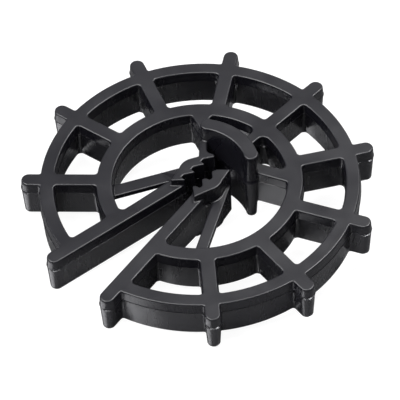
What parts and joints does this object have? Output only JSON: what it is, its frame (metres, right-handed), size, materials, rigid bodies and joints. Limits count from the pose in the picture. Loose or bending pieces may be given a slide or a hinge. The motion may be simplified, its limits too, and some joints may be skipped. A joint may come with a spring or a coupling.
{
  "type": "rebar chair",
  "caption": "One-piece moulded plastic spacer wheel with a radial mouth, toothed jaws on thin spring strips and a curved stop wall, snapped over a bar to hold it off the formwork",
  "frame": {"origin": "the wheel's centre, halfway up its rings", "axes": "+Z runs along the wheel's axis, towards the face that is up in the picture; -Y points out of the mouth; +X is the side of the jaw with the slanting back end"},
  "size_m": [0.0814, 0.0815, 0.0203],
  "materials": {
    "plastic": "semi-gloss moulded, charcoal black"
  },
  "bodies": {
    "root": {"spacer_wheel": "plastic"}
  },
  "joints": []
}
